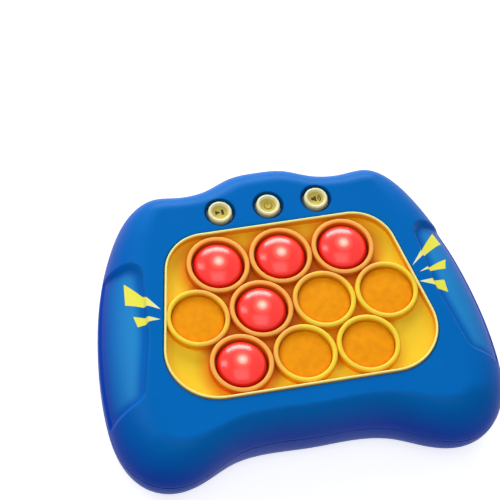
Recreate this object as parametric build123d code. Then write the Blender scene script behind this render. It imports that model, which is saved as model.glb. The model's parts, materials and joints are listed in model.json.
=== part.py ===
"""Electronic bubble pop game in a controller-shaped housing, in millimetres.

X runs across the toy, Y from the player's side to the far side, and Z up. The origin is
the middle of the toy's footprint, on the surface that it rests on.
"""

import math
import os

from build123d import *

# Housing: two moulded shells that meet at the parting line.
body_width = 156.0
body_depth = 127.0
body_height = 38.0
parting_height = 18.0
side_wall = 2.6
roof_thickness = 3.0
floor_thickness = 3.0
overrun = 1.0

# Half outline from the middle of the far side round to the middle of the player's side.
# Each point has its place across and along the toy, and how wide the edge rolls there.
outline_shares = (
    (0.0, 0.994, 0.59),
    (0.154, 0.976, 0.59),
    (0.282, 0.913, 0.57),
    (0.410, 0.891, 0.55),
    (0.551, 0.904, 0.57),
    (0.667, 0.844, 0.62),
    (0.788, 0.654, 0.73),
    (0.891, 0.362, 0.91),
    (0.968, -0.031, 1.0),
    (1.0, -0.488, 0.95),
    (0.949, -0.819, 0.80),
    (0.853, -0.953, 0.70),
    (0.718, -1.0, 0.59),
    (0.564, -0.95, 0.43),
    (0.397, -0.85, 0.32),
    (0.205, -0.813, 0.27),
    (0.0, -0.819, 0.27),
)
# Widest roll of the upper edge, across and along the toy, and how much of it the lower edge takes.
crown_run_shares = (0.141, 0.1732)
base_roll_share = 0.636
roll_steps = 4

# Grip recesses in the two sides of the upper shell.
grip_depth = 2.4
grip_lip = 0.8
grip_foot = 22.0
grip_edge_shares = ((1.13, 0.398), (0.70, 0.398), (0.742, -0.10), (0.826, -0.509), (1.13, -0.646))
grip_corner_radii = (3.0, 6.0, 60.0, 6.0, 3.0)

# Bubble grid: rows of three, four and three on a triangular pitch.
bubble_pitch = 25.0
grid_shift = -3.5
rows = (("back", 1, 3), ("middle", 0, 4), ("front", -1, 3))
raised_bubbles = ("back_1", "back_2", "back_3", "middle_2", "front_1")

# Panel that shows in the opening of the upper shell.
panel_depth = 71.5
panel_shift = 0.25
panel_back_width = 86.2
panel_front_width = 116.8
panel_back_radius = 17.0
panel_front_radius = 20.0
panel_plate = 2.0
panel_flange = 2.5
panel_fit = 0.2
lip_width = 1.1
lip_height = 0.6
ring_bore = 10.4
ring_radius = 12.7
ring_edge = 0.5

# Bubble caps and the plungers inside them.
bubble_travel = 3.6
cap_radius = 9.9
cap_wall = 1.2
cap_flange_radius = 11.4
cap_flange = 1.5
cap_gap = 0.3
cap_edge_radius = 2.6
ledge_rise = 1.0
shoulder_rise = 3.3
dome_height = 2.2
low_shoulder = 2.0
low_dome_height = 0.8
low_edge_radius = 0.6
ledge_radius = 8.0
plunger_radius = 8.5
plunger_plate = 1.2
plunger_stem_radius = 2.0
plunger_gap = 0.1

# Tray with one well for each bubble.
well_radius = 11.8
well_wall = 1.1
tray_floor = 2.4
tray_margin = 1.5
well_window_radius = 8.6

# Main board, and what is soldered on it.
board_thickness = 1.6
board_width = 110.0
board_depth = 78.0
board_shift = -5.0
board_corner = 6.0
tongue_width = 56.0
tongue_depth = 17.0
switch_width = 6.0
switch_height = 3.5
switch_stem_radius = 1.7
switch_stem_height = 0.5
led_width = 3.5
led_height = 1.4
led_offset = 6.3
chip_radius = 7.0
chip_height = 1.6
chip_shift = 14.0
resistor_length = 3.2
resistor_width = 1.6
resistor_height = 0.7
resistor_pitch = 7.0
resistor_row_shift = 22.0
resistor_count = 8
capacitor_radius = 3.0
capacitor_height = 8.0
capacitor_place_shares = (0.8, 0.436)

# Control buttons on the far side of the panel.
button_pitch = 19.4
button_shift = 40.8
button_radius = 4.65
button_gap = 0.35
button_rise = 0.5
button_dish = 0.7
button_dish_radius = 3.0
button_flange_radius = 5.9
button_flange = 1.1
button_play = 0.2
button_pin_radius = 1.7
button_pin_gap = 0.08
button_pin_entry = 0.5
button_bore_depth = 2.2
dimple_radius = 6.0
dimple_depth = 1.2

# Screws and the posts that take them.
post_radius = 3.8
counterbore_radius = 2.9
counterbore_depth = 8.0
screw_head_radius = 2.5
screw_head = 1.6
screw_radius = 1.3
case_screw_length = 14.0
post_place_shares = ((0.782, 0.165), (0.808, -0.772), (0.577, 0.717))
boss_radius = 3.2
tray_screw_length = 8.5
boss_place_shares = ((0.848, 0.937), (0.882, -0.993))
ear_radius = 4.0
ear_reach = 12.0

# Battery compartment, its door and three AA cells.
cell_count = 3
cell_radius = 7.25
cell_length = 49.2
cell_cap_radius = 2.75
cell_cap_height = 1.3
cell_pitch = 15.0
cell_gap = 0.3
box_side_gap = 0.5
box_wall = 1.6
contact_thickness = 0.5
contact_width = 9.0
contact_foot = 1.5
spring_depth = 3.0
spring_strip = 0.4
spring_height = 10.0
spring_flat = 2.0
tab_height = 2.0
tab_rise = 4.0
tab_reach = 1.5
tab_fit = 0.1
door_thickness = 2.3
door_recess = 0.3
door_gap = 0.15
door_lap = 1.2
door_corner = 2.0
door_ear_radius = 5.0
door_ear_shift = 5.2
door_boss_height = 10.0
door_screw_length = 7.5
door_head_depth = 1.7
door_screw_gap = 0.08
door_head_gap = 0.25

# Speaker over slots in the floor.
speaker_place_shares = (0.577, -0.606)
speaker_radius = 12.0
speaker_rim = 1.1
speaker_rim_height = 0.8
speaker_depth = 3.2
speaker_metal = 0.6
speaker_back_radius = 7.5
speaker_fit = 0.15
magnet_radius = 6.0
magnet_height = 3.0
cone_gap = 0.25
cone_thickness = 0.4
cone_cap_radius = 3.8
holder_wall = 1.2
holder_height = 2.6
grille_slot = 1.5
grille_pitch = 3.4
grille_count = 5
grille_reach = 9.0
terminal_width = 4.6
terminal_depth = 2.4
terminal_height = 1.0
terminal_shift = 8.8

# Leads held inside.
lead_radius = 0.55
lead_sides = 8
lead_pitch = 2.4
lead_bend = 2.6
lead_stand_off = 6.0
lead_side_step = 5.0
lead_first_rise = 4.0

# Heights that follow from the sizes above.
plate_top = body_height - roof_thickness
plate_bottom = plate_top - panel_plate
cap_flange_top = plate_bottom - cap_gap
tray_top = plate_bottom
tray_floor_top = cap_flange_top - cap_flange - bubble_travel - cap_gap
board_top = tray_floor_top - tray_floor
board_bottom = board_top - board_thickness
switch_top = board_top + switch_height + switch_stem_height
ledge_top = plate_top + ledge_rise
door_bottom = door_recess
door_top = door_bottom + door_thickness
cell_axis = door_top + cell_gap + cell_radius
box_roof_bottom = cell_axis + cell_radius + cell_gap
box_roof_top = box_roof_bottom + box_wall
box_length = cell_length + cell_cap_height + spring_depth + 2 * contact_thickness
box_width = cell_count * cell_pitch + 2 * box_side_gap

# Places that follow from the shares above.
post_places = [(x * body_width / 2, y * body_depth / 2) for x, y in post_place_shares]
boss_places = [(x * panel_front_width / 2, grid_shift + y * panel_depth / 2) for x, y in boss_place_shares]
speaker_place = (speaker_place_shares[0] * body_width / 2, speaker_place_shares[1] * body_depth / 2)
capacitor_place = (capacitor_place_shares[0] * board_width / 2,
                   board_shift + capacitor_place_shares[1] * board_depth / 2)


def save(name, shape):
    """Write one named piece to its own file."""
    export_step(shape, f"parts/{name}.step")


def both_sides(shape):
    """A shape and its mirror image across the middle of the toy."""
    return shape + mirror(shape, Plane.YZ)


def disc(radius, bottom, top, place=(0, 0)):
    """Upright cylinder between two heights."""
    return Pos(place[0], place[1], bottom) * extrude(Circle(radius), top - bottom)


def turned(points):
    """Solid turned about Z from a closed outline of radius and height pairs."""
    return revolve(Plane.XZ * make_face(Polyline(*points, close=True)), Axis.Z)


def crown(radius, base, height):
    """Arc from a point on the axis down to the edge of a round crown."""
    sphere = (radius**2 + height**2) / (2 * height)
    half_turn = math.asin(radius / sphere) / 2
    middle = (sphere * math.sin(half_turn), base + height - sphere * (1 - math.cos(half_turn)))
    return ThreePointArc((0, base + height), middle, (radius, base))


def bubble_places():
    """Name and centre of each bubble, row by row from the far side."""
    row_pitch = bubble_pitch * math.sqrt(3) / 2
    for row, step, count in rows:
        for index in range(count):
            across = (index - (count - 1) / 2) * bubble_pitch
            yield f"{row}_{index + 1}", (across, grid_shift + step * row_pitch)


def outline_points():
    """Plan points of the whole housing with the roll of its edge at each."""
    half = [(x * body_width / 2, y * body_depth / 2, roll) for x, y, roll in outline_shares]
    return half + [(-x, y, roll) for x, y, roll in reversed(half[1:-1])]


def outline_knots():
    """Running length round the outline, so that every section is divided alike."""
    points = outline_points()
    lengths = [0.0]
    for here, after in zip(points, points[1:] + points[:1]):
        lengths.append(lengths[-1] + math.dist(here[:2], after[:2]))
    return [length / lengths[-1] for length in lengths]


def section(height, wall, roll, largest_share):
    """Housing in plan at one height, drawn in by a wall and by part of the edge roll."""
    points = outline_points()
    run_across, run_along = crown_run_shares[0] * body_width, crown_run_shares[1] * body_depth
    inner = []
    for before, here, after in zip(points[-1:] + points[:-1], points, points[1:] + points[:1]):
        inward = Vector(after[1] - before[1], before[0] - after[0]).normalized()
        share = roll * min(here[2], largest_share)
        across = inward.X * (wall + share * run_across)
        along = inward.Y * (wall + share * run_along)
        inner.append(Vector(here[0] + across, here[1] + along, height))
    edge = Edge.make_spline(inner, periodic=True, parameters=outline_knots())
    return Face(Wire([edge]))


def rolled_form(wall, end_height, largest_share):
    """Half of the housing from the parting line to its flat end, with a rolled edge."""
    sections = []
    for step in range(roll_steps + 1):
        turn = math.radians(90 * step / roll_steps)
        height = parting_height + (end_height - parting_height) * math.sin(turn)
        sections.append(section(height, wall, 1 - math.cos(turn), largest_share))
    return loft(sorted(sections, key=lambda face: face.center().Z))


def upper_form(wall, drop):
    """Upper half of the housing, drawn in by a wall and lowered by a drop."""
    return rolled_form(wall, body_height - drop, 1)


def lower_form(wall, lift):
    """Lower half of the housing, drawn in by a wall and raised by a lift."""
    return rolled_form(wall, lift, base_roll_share)


def grip_face():
    """Plan of the right-hand grip recess, which runs out past the side."""
    corners = [(x * body_width / 2, y * body_depth / 2) for x, y in grip_edge_shares]
    return make_face(FilletPolyline(*corners, radius=grip_corner_radii, close=True))


def recessed_form(wall, drop):
    """Upper form with both grip recesses let in, drawn in by a wall and lowered by a drop."""
    face = offset(grip_face(), wall) if wall else grip_face()
    column = Pos(0, 0, grip_foot - wall) * extrude(face, body_height)
    recess = column - upper_form(wall + grip_lip, drop + grip_depth)
    return upper_form(wall, drop) - both_sides(recess)


def panel_face(margin):
    """Plan of the panel opening, a rounded trapezium grown by a margin."""
    back = panel_shift + grid_shift + panel_depth / 2
    front = back - panel_depth
    corners = ((-panel_back_width / 2, back), (panel_back_width / 2, back),
               (panel_front_width / 2, front), (-panel_front_width / 2, front))
    radii = (panel_back_radius, panel_back_radius, panel_front_radius, panel_front_radius)
    face = make_face(FilletPolyline(*corners, radius=radii, close=True))
    return offset(face, margin) if margin else face


def slab(face, bottom, top):
    """Flat plate between two heights."""
    return Pos(0, 0, bottom) * extrude(face, top - bottom)


def button_places():
    """Name and centre of each control button, from left to right."""
    names = ("mode_button", "power_button", "sound_button")
    return [(name, ((index - 1) * button_pitch, button_shift)) for index, name in enumerate(names)]


def top_shell():
    """Upper half of the housing with the panel opening, button holes and screw posts."""
    shell = recessed_form(0, 0) - recessed_form(side_wall, roof_thickness)
    posts = Part()
    for place in post_places:
        posts += both_sides(disc(post_radius, parting_height, body_height, place))
    for place in boss_places:
        posts += both_sides(disc(boss_radius, tray_floor_top, body_height, place))
    shell += posts & recessed_form(side_wall / 2, roof_thickness / 2)
    for place in post_places:
        point = counterbore_depth + screw_head + case_screw_length
        shell -= both_sides(disc(screw_radius, 0, point, place))
    for place in boss_places:
        shell -= both_sides(disc(screw_radius, 0, board_bottom + tray_screw_length, place))
    shell -= slab(panel_face(panel_fit), parting_height, body_height + overrun)
    shell -= slab(panel_face(panel_flange + panel_fit), plate_bottom, plate_top)
    for _, place in button_places():
        shell -= disc(button_radius + button_gap, parting_height, body_height + overrun, place)
        shell -= disc(dimple_radius, body_height - dimple_depth, body_height + overrun, place)
        shell -= disc(button_flange_radius + button_gap, parting_height, plate_top, place)
    return shell


def box_block(margin, bottom, top):
    """Upright block over the cells, grown by a margin."""
    return slab(Rectangle(box_length + 2 * margin, box_width + 2 * margin), bottom, top)


def door_face(gap):
    """Plan of the battery door with its two screw ears."""
    length = box_length + 2 * door_lap - 2 * gap
    width = box_width + 2 * door_lap - 2 * gap
    face = RectangleRounded(length, width, door_corner)
    for place in door_screw_places():
        face += Pos(*place) * Circle(door_ear_radius - gap)
    return face


def door_screw_places():
    """Centres of the two door screws, one beyond each long side of the cells."""
    reach = box_width / 2 + door_ear_shift
    return [(0, -reach), (0, reach)]


def bottom_shell():
    """Lower half of the housing with the battery box, speaker seat and screw tubes."""
    shell = lower_form(0, 0) - lower_form(side_wall, floor_thickness)
    for place in post_places:
        tube = disc(post_radius, 0, parting_height, place)
        tube &= lower_form(side_wall / 2, floor_thickness / 2)
        shell += both_sides(tube)
    rooted = floor_thickness / 2
    shell += box_block(box_wall, rooted, box_roof_top)
    boss_top = floor_thickness + door_boss_height
    for place in door_screw_places():
        shell += disc(boss_radius, rooted, boss_top, place)
    holder = speaker_radius + speaker_fit
    shell += disc(holder + holder_wall, rooted, floor_thickness + holder_height, speaker_place)
    shell -= disc(holder, floor_thickness, floor_thickness + holder_height, speaker_place)
    shell -= box_block(0, door_top, box_roof_bottom)
    shell -= slab(door_face(0), -overrun, door_top + door_gap)
    for place in door_screw_places():
        shell -= disc(screw_radius + door_screw_gap, 0, boss_top - box_wall, place)
    for place in post_places:
        shell -= both_sides(disc(screw_radius, 0, parting_height + overrun, place))
        shell -= both_sides(disc(counterbore_radius, -overrun, counterbore_depth + screw_head, place))
    for index in range(grille_count):
        step = (index - (grille_count - 1) / 2) * grille_pitch
        length = 2 * math.sqrt(grille_reach**2 - step**2)
        slot = Pos(speaker_place[0] + step, speaker_place[1]) * Rotation(0, 0, 90)
        shell -= slab(slot * SlotOverall(length, grille_slot), -overrun, floor_thickness + overrun)
    for side, row in ((-1, 1), (1, -1)):
        shell -= contact_tab(side, row, tab_fit)
    return shell


def contact_tab(side, row, fit):
    """Solder tab that passes out through the end wall of the battery box."""
    inner = box_length / 2 - contact_thickness
    outer = box_length / 2 + box_wall + tab_reach
    width = contact_width / 2 + 2 * fit
    height = tab_height + 2 * fit
    tab = Box(outer - inner, width, height)
    return Pos(side * (inner + outer) / 2, row * cell_pitch, door_top + tab_rise) * tab


def contact_plate(side, first, last):
    """Flat contact plate that spans the cells from one row to another."""
    width = (last - first) * cell_pitch + contact_width
    height = box_roof_bottom - door_top - 2 * contact_foot
    middle = (first + last) * cell_pitch / 2
    along = side * (box_length - contact_thickness) / 2
    rise = (box_roof_bottom + door_top) / 2
    return Pos(along, middle, rise) * Box(contact_thickness, width, height)


def contact_plates():
    """Four plates that join three cells in a row, the first and last with solder tabs."""
    plates = [contact_plate(-1, 1, 1) + contact_tab(-1, 1, 0), contact_plate(-1, -1, 0),
              contact_plate(1, 0, 1), contact_plate(1, -1, -1) + contact_tab(1, -1, 0)]
    return Compound(children=plates)


def contact_spring(side, row):
    """Bent leaf that presses on the flat end of one cell."""
    half = spring_height / 2
    flat = spring_flat / 2
    reach = spring_depth
    outline = ((0, half), (reach, flat), (reach, -flat), (0, -half), (0, spring_strip * 2 - half),
               (reach - spring_strip, -flat), (reach - spring_strip, flat), (0, half - spring_strip * 2))
    leaf = extrude(make_face(Polyline(*outline, close=True)), contact_width / 2, both=True)
    inner = box_length / 2 - contact_thickness
    turn = Rotation(90, 0, 0) if side < 0 else Rotation(90, 0, 180)
    return Pos(side * inner, row * cell_pitch, cell_axis) * turn * leaf


def cell(side):
    """AA cell that lies along X with its raised end towards one side of the box."""
    half = cell_length + cell_cap_height
    profile = ((0, 0), (cell_radius, 0), (cell_radius, cell_length), (cell_cap_radius, cell_length),
               (cell_cap_radius, half), (0, half))
    end = box_length / 2 - contact_thickness - half
    return Pos(side * end, 0, 0) * Rotation(0, side * 90, 0) * turned(profile)


def battery_door():
    """Flush door with ribs between the cells and two sunk screw seats."""
    door = slab(door_face(door_gap), door_bottom, door_top)
    for place in door_screw_places():
        door -= disc(screw_radius + door_screw_gap, 0, door_top + overrun, place)
        door -= disc(screw_head_radius + door_head_gap, 0, door_head_depth, place)
    return door


def screw(head_bottom, length, place):
    """Pan-head screw that stands point up."""
    head = disc(screw_head_radius, head_bottom, head_bottom + screw_head, place)
    return head + disc(screw_radius, head_bottom + screw_head, head_bottom + screw_head + length, place)


def case_screws():
    """Six screws that draw the shells together from below."""
    pieces = [screw(counterbore_depth, case_screw_length, place) for place in post_places]
    pieces += [screw(counterbore_depth, case_screw_length, (-x, y)) for x, y in post_places]
    return Compound(children=pieces)


def tray_screws():
    """Four screws through the board and the tray into the upper shell."""
    bottom = board_bottom - screw_head
    pieces = [screw(bottom, tray_screw_length, place) for place in boss_places]
    pieces += [screw(bottom, tray_screw_length, (-x, y)) for x, y in boss_places]
    return Compound(children=pieces)


def door_screws():
    """Two screws that hold the battery door."""
    bottom = door_head_depth - screw_head
    return Compound(children=[screw(bottom, door_screw_length, place) for place in door_screw_places()])


def bubble_panel():
    """Moulded panel with a raised lip and a ring round each bubble."""
    plate = slab(panel_face(panel_flange), plate_bottom, plate_top)
    inside = slab(panel_face(-lip_width), plate_top, body_height + lip_height + overrun)
    rings = Part()
    for _, place in bubble_places():
        ring = disc(ring_radius, plate_top, body_height, place)
        rings += chamfer(ring.edges().group_by(Axis.Z)[-1], ring_edge)
    lip = slab(panel_face(0), plate_top, body_height + lip_height) - inside
    panel = plate + lip + (rings & inside)
    for _, place in bubble_places():
        panel -= disc(ring_bore, plate_bottom - overrun, body_height + overrun, place)
    for _, place in button_places():
        panel -= disc(button_flange_radius + button_gap, plate_bottom - overrun, plate_top, place)
    return panel


def ear(place):
    """Plan of a screw ear that reaches in towards the middle of the toy."""
    middle = Vector(0, grid_shift)
    spot = Vector(*place)
    inward = (middle - spot).normalized()
    centre = spot + inward * (ear_reach / 2)
    angle = math.degrees(math.atan2(inward.Y, inward.X))
    return Pos(centre.X, centre.Y) * Rotation(0, 0, angle) * SlotCenterToCenter(ear_reach, 2 * ear_radius)


def bubble_tray():
    """Tray of ten round wells that backs the panel and guides the bubble caps."""
    floor = panel_face(-tray_margin)
    for place in boss_places:
        floor += ear(place) + mirror(ear(place), Plane.YZ)
    tray = slab(floor, board_top, tray_floor_top)
    for _, place in bubble_places():
        tray += disc(well_radius + well_wall, board_top, tray_top, place)
    for _, place in bubble_places():
        tray -= disc(well_radius, tray_floor_top, tray_top + overrun, place)
        tray -= disc(well_window_radius, board_top - overrun, tray_floor_top + overrun, place)
    for place in boss_places:
        tray -= both_sides(disc(screw_radius, board_top - overrun, tray_top, place))
    return tray


def bubble_cap(shoulder, height, edge_radius, lift):
    """Soft cap with a flange under the panel and a ledge inside for its plunger."""
    flange_top = cap_flange_top + lift
    flange_bottom = flange_top - cap_flange
    ledge = ledge_top + lift
    inner = cap_radius - cap_wall
    apex = shoulder + height
    outside = crown(cap_radius, shoulder, height)
    inside = crown(ledge_radius, ledge, apex - cap_wall - ledge)
    side = Polyline((cap_radius, shoulder), (cap_radius, flange_top), (cap_flange_radius, flange_top),
                    (cap_flange_radius, flange_bottom), (inner, flange_bottom), (inner, ledge),
                    (ledge_radius, ledge))
    axis = Line((0, apex - cap_wall), (0, apex))
    profile = make_face([outside, side, inside, axis])
    profile = fillet(profile.vertices().sort_by_distance((cap_radius, shoulder))[0], edge_radius)
    return revolve(Plane.XZ * profile, Axis.Z)


def plunger(lift):
    """Clear plunger that seats on the ledge of its cap and works the switch below."""
    top = ledge_top + lift
    bottom = switch_top + plunger_gap + bubble_travel + lift
    return disc(plunger_radius, top - plunger_plate, top) + disc(plunger_stem_radius, bottom, top)


def board_face():
    """Plan of the main board, with a tongue under the control buttons."""
    face = Pos(0, board_shift) * RectangleRounded(board_width, board_depth, board_corner)
    tongue_middle = board_shift + (board_depth + tongue_depth) / 2 - board_corner
    return face + Pos(0, tongue_middle) * Rectangle(tongue_width, tongue_depth)


def main_board():
    """Printed circuit board under the tray."""
    board = slab(board_face(), board_bottom, board_top)
    for place in boss_places:
        board -= both_sides(disc(screw_radius, 0, body_height, place))
    return board


def switch(place):
    """Push switch with a short round stem."""
    body = Pos(*place) * slab(Rectangle(switch_width, switch_width), board_top, board_top + switch_height)
    return body + disc(switch_stem_radius, board_top, switch_top, place)


def control_switch(place):
    """Push switch with a bore for the pin of a control button."""
    top = board_top + switch_height
    body = Pos(*place) * slab(Rectangle(switch_width, switch_width), board_top, top)
    return body - disc(button_pin_radius + button_pin_gap, top - button_bore_depth, top + overrun, place)


def led(place):
    """Flat lamp beside a bubble switch."""
    spot = Pos(place[0], place[1] - led_offset)
    return spot * slab(Rectangle(led_width, led_width), board_top, board_top + led_height)


def control_button():
    """Round button with a dished top, a hidden flange and a pin into its switch."""
    top = body_height + button_rise
    rim = (button_radius + button_dish_radius) / 2
    flange_top = plate_top - button_play
    flange_bottom = flange_top - button_flange
    pin_bottom = board_top + switch_height - button_pin_entry
    profile = ((0, top - button_dish), (button_dish_radius, top - button_dish), (rim, top),
               (button_radius, top - button_dish), (button_radius, flange_top),
               (button_flange_radius, flange_top), (button_flange_radius, flange_bottom),
               (button_pin_radius, flange_bottom), (button_pin_radius, pin_bottom), (0, pin_bottom))
    return turned(profile)


def controller_chip():
    """Round potted chip under the board."""
    profile = make_face([crown(chip_radius, 0, chip_height), Line((chip_radius, 0), (0, 0)),
                         Line((0, 0), (0, chip_height))])
    dome = revolve(Plane.XZ * profile, Axis.Z)
    return Pos(0, chip_shift, board_bottom) * Rotation(180, 0, 0) * dome


def board_parts():
    """Row of resistors and one capacitor under the board."""
    pieces = []
    for index in range(resistor_count):
        across = (index - (resistor_count - 1) / 2) * resistor_pitch
        place = Pos(across, resistor_row_shift, board_bottom - resistor_height / 2)
        pieces.append(place * Box(resistor_length, resistor_width, resistor_height))
    pieces.append(disc(capacitor_radius, board_bottom - capacitor_height, board_bottom, capacitor_place))
    return Compound(children=pieces)


def speaker_place_of(shape):
    """Set a piece of the speaker on its seat in the floor."""
    return Pos(*speaker_place, floor_thickness) * shape


def terminal(height):
    """Block on the back of the speaker that carries its two leads."""
    block = Box(terminal_width, terminal_depth, height)
    return Pos(0, terminal_shift, height / 2) * block


def speaker_frame():
    """Pressed basket of the speaker with its terminal block."""
    inner = speaker_radius - speaker_rim
    back = speaker_depth
    basket = turned(((inner, 0), (speaker_radius, 0), (speaker_radius, speaker_rim_height),
                     (speaker_back_radius, back), (0, back), (0, back - speaker_metal),
                     (speaker_back_radius - speaker_metal, back - speaker_metal),
                     (inner, speaker_rim_height)))
    solid_side = turned(((0, 0), (speaker_radius, 0), (speaker_radius, speaker_rim_height),
                         (speaker_back_radius, back), (0, back)))
    return speaker_place_of(basket + (terminal(back + terminal_height) - solid_side))


def speaker_magnet():
    """Round magnet on the back of the basket."""
    return speaker_place_of(disc(magnet_radius, speaker_depth, speaker_depth + magnet_height))


def speaker_cone():
    """Paper cone with its middle cap, inside the basket."""
    rim = speaker_radius - speaker_rim - cone_gap
    top = speaker_depth - speaker_metal - cone_gap
    low = cone_gap
    return speaker_place_of(turned(((rim, low), (rim, low + cone_thickness), (cone_cap_radius, top),
                                    (0, top), (0, top - cone_thickness),
                                    (cone_cap_radius - cone_gap, top - cone_thickness),
                                    (rim - 2 * cone_thickness, low))))


def lead(route, bends):
    """Insulated lead along straight runs joined by round bends."""
    path = FilletPolyline(*route, radius=bends)
    start = Plane(origin=path @ 0, z_dir=path % 0)
    print("lead length", round(path.length, 1), "bends", bends)
    return sweep(start * RegularPolygon(lead_radius, lead_sides), path=path)


def battery_leads():
    """Two leads from the solder tabs of the battery box up to the board."""
    leads = []
    for side, row in ((-1, 1), (1, -1)):
        start = side * (box_length / 2 + box_wall + tab_reach)
        y = row * cell_pitch
        z = door_top + tab_rise
        corner = start + side * lead_stand_off
        leads.append(lead([(start, y, z), (corner, y, z), (corner, y, board_bottom)], [lead_bend]))
    return Compound(children=leads)


def speaker_leads():
    """Two leads from the speaker's terminal block up to the board."""
    leads = []
    bottom = floor_thickness + speaker_depth + terminal_height
    for side in (-1, 1):
        x = speaker_place[0] + side * lead_pitch / 2
        y = speaker_place[1] + terminal_shift
        low = bottom + lead_first_rise
        high = board_bottom - lead_first_rise
        route = [(x, y, bottom), (x, y, low), (x, y + lead_side_step, high),
                 (x, y + lead_side_step, board_bottom)]
        leads.append(lead(route, [lead_bend, lead_bend]))
    return Compound(children=leads)


os.makedirs("parts", exist_ok=True)

# End of the box and row of cells at which each spring presses.
spring_places = ((-1, 0), (1, 1), (1, -1))

save("top_shell", top_shell())
save("bottom_shell", bottom_shell())
save("case_screws", case_screws())
save("battery_door", battery_door())
save("battery_door_screws", door_screws())
save("bubble_panel", bubble_panel())
save("bubble_tray", bubble_tray())
save("tray_screws", tray_screws())
save("main_board", main_board())
save("bubble_switches", Compound(children=[switch(place) for _, place in bubble_places()]))
save("bubble_leds", Compound(children=[led(place) for _, place in bubble_places()]))
save("control_switches", Compound(children=[control_switch(place) for _, place in button_places()]))
save("controller_chip", controller_chip())
save("board_parts", board_parts())
save("speaker_frame", speaker_frame())
save("speaker_magnet", speaker_magnet())
save("speaker_cone", speaker_cone())
save("battery_contacts", contact_plates())
save("battery_springs", Compound(children=[contact_spring(side, row) for side, row in spring_places]))
save("battery_leads", battery_leads())
save("speaker_leads", speaker_leads())

for number, (row, side) in enumerate(((1, -1), (0, 1), (-1, -1)), start=1):
    save(f"battery_{number}", Pos(0, row * cell_pitch, cell_axis) * cell(side))

for name, place in button_places():
    save(name, Pos(*place) * control_button())

for name, place in bubble_places():
    if name in raised_bubbles:
        cap = bubble_cap(plate_top + shoulder_rise, dome_height, cap_edge_radius, 0)
        pusher = plunger(0)
    else:
        cap = bubble_cap(body_height - low_shoulder, low_dome_height, low_edge_radius, -bubble_travel)
        pusher = plunger(-bubble_travel)
    save(f"bubble_{name}", Pos(*place) * cap)
    save(f"plunger_{name}", Pos(*place) * pusher)
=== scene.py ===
"""Dresses a hand-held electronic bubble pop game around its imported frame."""

import json
import math

import bmesh
import bpy
import numpy as np
from bpy.props import FloatProperty, FloatVectorProperty, PointerProperty
from mathutils import Matrix, Vector
from mathutils.bvhtree import BVHTree


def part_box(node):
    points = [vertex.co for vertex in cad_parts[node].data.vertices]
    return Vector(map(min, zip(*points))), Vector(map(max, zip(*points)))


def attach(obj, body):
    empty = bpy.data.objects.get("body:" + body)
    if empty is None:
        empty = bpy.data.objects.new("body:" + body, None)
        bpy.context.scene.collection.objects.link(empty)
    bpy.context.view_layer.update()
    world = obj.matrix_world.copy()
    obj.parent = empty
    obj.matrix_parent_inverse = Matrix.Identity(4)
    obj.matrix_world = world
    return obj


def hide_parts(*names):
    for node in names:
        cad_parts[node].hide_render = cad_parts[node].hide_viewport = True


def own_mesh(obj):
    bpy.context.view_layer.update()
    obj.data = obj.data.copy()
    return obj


bl_info = {
    "name": "Bubble Pop Game Kit",
    "version": (1, 0, 0),
    "blender": (4, 5, 0),
    "location": "3D View > Sidebar > Bubble Game",
    "description": "Casing, panel, bubbles, buttons and finishes of a hand-held bubble pop game",
    "category": "Object",
}

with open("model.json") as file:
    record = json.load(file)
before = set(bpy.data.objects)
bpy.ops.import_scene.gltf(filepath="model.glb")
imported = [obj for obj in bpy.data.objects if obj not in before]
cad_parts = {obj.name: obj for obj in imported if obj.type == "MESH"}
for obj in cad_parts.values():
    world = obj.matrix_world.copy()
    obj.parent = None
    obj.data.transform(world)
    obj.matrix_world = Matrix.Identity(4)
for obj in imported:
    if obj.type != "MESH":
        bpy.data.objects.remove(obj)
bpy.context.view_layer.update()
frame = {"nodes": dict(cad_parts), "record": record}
MM = 0.001

# Main planes, read from the frame.
CASING_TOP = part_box("top_shell")[1].z
HALF_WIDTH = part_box("bottom_shell")[1].x
PLATE_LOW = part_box("bubble_panel")[0].z
LIP_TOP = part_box("bubble_panel")[1].z

# Casing: the smooth outline and how far its edge rolls in, as in the frame's shells.
BODY_WIDTH = 156.0 * MM
BODY_DEPTH = 127.0 * MM
BODY_HEIGHT = 38.0 * MM
SPLIT_HEIGHT = 18.0 * MM
SIDE_WALL = 2.6 * MM
ROOF = 3.0 * MM
CROWN_RUN = np.array((0.141 * BODY_WIDTH, 0.1732 * BODY_DEPTH))
OUTLINE_SHARES = (
    (0.0, 0.994, 0.59), (0.154, 0.976, 0.59), (0.282, 0.913, 0.57), (0.410, 0.891, 0.55),
    (0.551, 0.904, 0.57), (0.667, 0.844, 0.62), (0.788, 0.654, 0.73), (0.891, 0.362, 0.91),
    (0.968, -0.031, 1.0), (1.0, -0.488, 0.95), (0.949, -0.819, 0.80), (0.853, -0.953, 0.70),
    (0.718, -1.0, 0.59), (0.564, -0.95, 0.43), (0.397, -0.85, 0.32), (0.205, -0.813, 0.27),
    (0.0, -0.819, 0.27),
)
# Where the lower shell's back swells or draws in at the seam: angle in degrees, and mm outward.
BACK_SWELL = (
    (70, 0), (76.2, -0.13), (80.6, 0.17), (84.0, 0.56), (85.5, 0.63), (87.1, 0.57), (90.0, 0),
    (93.2, -0.58), (95.1, -0.6), (98.0, -0.33), (99.6, -0.14), (102.5, 0.09), (107.6, 0.08),
    (112, 0),
)
GRIP_DEPTH = 2.4 * MM
GRIP_FLOOR = BODY_HEIGHT - GRIP_DEPTH
GRIP_LIP = 0.8 * MM
GRIP_FOOT = 22.0 * MM
GRIP_SHARES = ((1.13, 0.398), (0.70, 0.398), (0.742, -0.10), (0.826, -0.509), (1.13, -0.646))
GRIP_RADII = (3.0 * MM, 6.0 * MM, 60.0 * MM, 6.0 * MM, 3.0 * MM)
# Grid of the casing: columns round it, and rows across each of its seven forms.
AROUND = 480
STRIPS = (40, 12, 4, 1, 1, 5, 1)

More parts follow.
